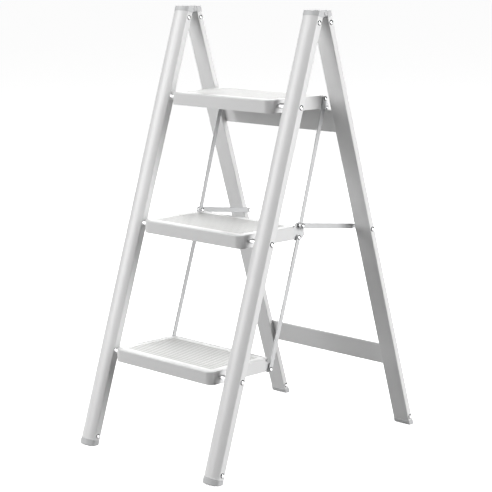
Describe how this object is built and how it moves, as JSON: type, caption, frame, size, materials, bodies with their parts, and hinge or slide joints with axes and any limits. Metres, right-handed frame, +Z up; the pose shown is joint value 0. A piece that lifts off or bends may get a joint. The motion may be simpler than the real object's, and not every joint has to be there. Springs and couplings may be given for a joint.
{
  "type": "step stool",
  "caption": "Folding A-frame step stool: tip-up steps in a tube front frame, a hinged rear frame, link bars and spreader arms.",
  "frame": {"origin": "on the floor at the middle of the open stool's footprint", "axes": "+Z up, +X to the right of a person who faces the steps, +Y from the front feet towards the rear feet"},
  "size_m": [0.3826, 0.5556, 0.826],
  "materials": {
    "frame_white": "satin white powder coat",
    "step_white": "satin white powder coat",
    "bracket_white": "white powder coat",
    "tread_white": "ribbed, semi-gloss",
    "rivet_chrome": "polished",
    "cap_grey": "moulded",
    "foot_grey": "moulded",
    "pad_rubber": "moulded",
    "link_silver": "silver coat",
    "spacer_steel": "zinc plated"
  },
  "bodies": {
    "front_frame": {"front_rail_left": "frame_white", "front_rail_right": "frame_white", "front_foot_left": "foot_grey", "front_foot_right": "foot_grey", "front_cap_left": "cap_grey", "front_cap_right": "cap_grey", "hinge_pins": "cap_grey", "front_cap_rivets": "rivet_chrome", "front_foot_rivets": "rivet_chrome", "step_pivot_rivets": "rivet_chrome", "pivot_spacers": "spacer_steel"},
    "rear_frame": {"rear_leg_left": "frame_white", "rear_leg_right": "frame_white", "rear_foot_left": "foot_grey", "rear_foot_right": "foot_grey", "rear_cap_left": "cap_grey", "rear_cap_right": "cap_grey", "upper_cross_bar": "frame_white", "lower_cross_bar": "frame_white", "rear_cap_rivets": "rivet_chrome", "rear_foot_rivets": "rivet_chrome", "arm_anchor_rivets": "rivet_chrome", "step_rest_pads": "pad_rubber"},
    "step_top": {"step_pan_top": "step_white", "step_tread_top": "tread_white", "step_stiffener_top": "bracket_white", "top_bracket_left": "bracket_white", "top_bracket_right": "bracket_white", "top_link_pins": "rivet_chrome", "top_stop_pins": "rivet_chrome"},
    "step_middle": {"step_pan_middle": "step_white", "step_tread_middle": "tread_white", "step_stiffener_middle": "bracket_white", "middle_bracket_left": "bracket_white", "middle_bracket_right": "bracket_white", "middle_link_pins": "rivet_chrome", "middle_lower_pins": "rivet_chrome", "arm_washers": "spacer_steel"},
    "step_bottom": {"step_pan_bottom": "step_white", "step_tread_bottom": "tread_white", "step_stiffener_bottom": "bracket_white", "bottom_bracket_left": "bracket_white", "bottom_bracket_right": "bracket_white", "bottom_link_pins": "rivet_chrome"},
    "upper_link_left": {"upper_link_left": "link_silver", "upper_link_pin_left": "rivet_chrome"},
    "lower_link_left": {"lower_link_left": "link_silver"},
    "spreader_arm_left": {"spreader_arm_left": "link_silver", "arm_end_pin_left": "spacer_steel"},
    "upper_link_right": {"upper_link_right": "link_silver", "upper_link_pin_right": "rivet_chrome"},
    "lower_link_right": {"lower_link_right": "link_silver"},
    "spreader_arm_right": {"spreader_arm_right": "link_silver", "arm_end_pin_right": "spacer_steel"}
  },
  "joints": [
    {"name": "rear_frame_fold", "type": "hinge", "parent": "front_frame", "child": "rear_frame", "pos_m": [0, 0.00288, 0.82], "axis": [-1, 0, 0], "range_deg": [0, 34.8]},
    {"name": "step_top_tip", "type": "hinge", "parent": "front_frame", "child": "step_top", "pos_m": [0, -0.05957, 0.65514], "axis": [1, 0, 0], "range_deg": [0, 72.65]},
    {"name": "step_middle_tip", "type": "hinge", "parent": "front_frame", "child": "step_middle", "pos_m": [0, -0.13433, 0.41658], "axis": [1, 0, 0], "range_deg": [0, 72.65]},
    {"name": "step_bottom_tip", "type": "hinge", "parent": "front_frame", "child": "step_bottom", "pos_m": [0, -0.20909, 0.17802], "axis": [1, 0, 0], "range_deg": [0, 72.65]},
    {"name": "upper_link_left_turn", "type": "hinge", "parent": "step_middle", "child": "upper_link_left", "pos_m": [-0.13385, -0.00033, 0.42908], "axis": [-1, 0, 0], "range_deg": [0, 75.94]},
    {"name": "lower_link_left_turn", "type": "hinge", "parent": "step_middle", "child": "lower_link_left", "pos_m": [-0.13385, -0.00533, 0.40708], "axis": [-1, 0, 0], "range_deg": [0, 72.65]},
    {"name": "spreader_arm_left_turn", "type": "hinge", "parent": "step_middle", "child": "spreader_arm_left", "pos_m": [-0.1391, -0.00033, 0.42908], "axis": [-1, 0, 0], "range_deg": [0, 159.68]},
    {"name": "upper_link_right_turn", "type": "hinge", "parent": "step_middle", "child": "upper_link_right", "pos_m": [0.13385, -0.00033, 0.42908], "axis": [-1, 0, 0], "range_deg": [0, 75.94]},
    {"name": "lower_link_right_turn", "type": "hinge", "parent": "step_middle", "child": "lower_link_right", "pos_m": [0.13385, -0.00533, 0.40708], "axis": [-1, 0, 0], "range_deg": [0, 72.65]},
    {"name": "spreader_arm_right_turn", "type": "hinge", "parent": "step_middle", "child": "spreader_arm_right", "pos_m": [0.1391, -0.00033, 0.42908], "axis": [-1, 0, 0], "range_deg": [0, 159.68]}
  ],
  "couplings": [
    {"joint": "step_top_tip", "follows": "rear_frame_fold", "ratio": 2.0862},
    {"joint": "step_middle_tip", "follows": "rear_frame_fold", "ratio": 2.0862},
    {"joint": "step_bottom_tip", "follows": "rear_frame_fold", "ratio": 2.0862},
    {"joint": "upper_link_left_turn", "follows": "rear_frame_fold", "ratio": 2.1806},
    {"joint": "lower_link_left_turn", "follows": "rear_frame_fold", "ratio": 2.0862},
    {"joint": "spreader_arm_left_turn", "follows": "rear_frame_fold", "ratio": 4.5872},
    {"joint": "upper_link_right_turn", "follows": "rear_frame_fold", "ratio": 2.1806},
    {"joint": "lower_link_right_turn", "follows": "rear_frame_fold", "ratio": 2.0862},
    {"joint": "spreader_arm_right_turn", "follows": "rear_frame_fold", "ratio": 4.5872}
  ]
}
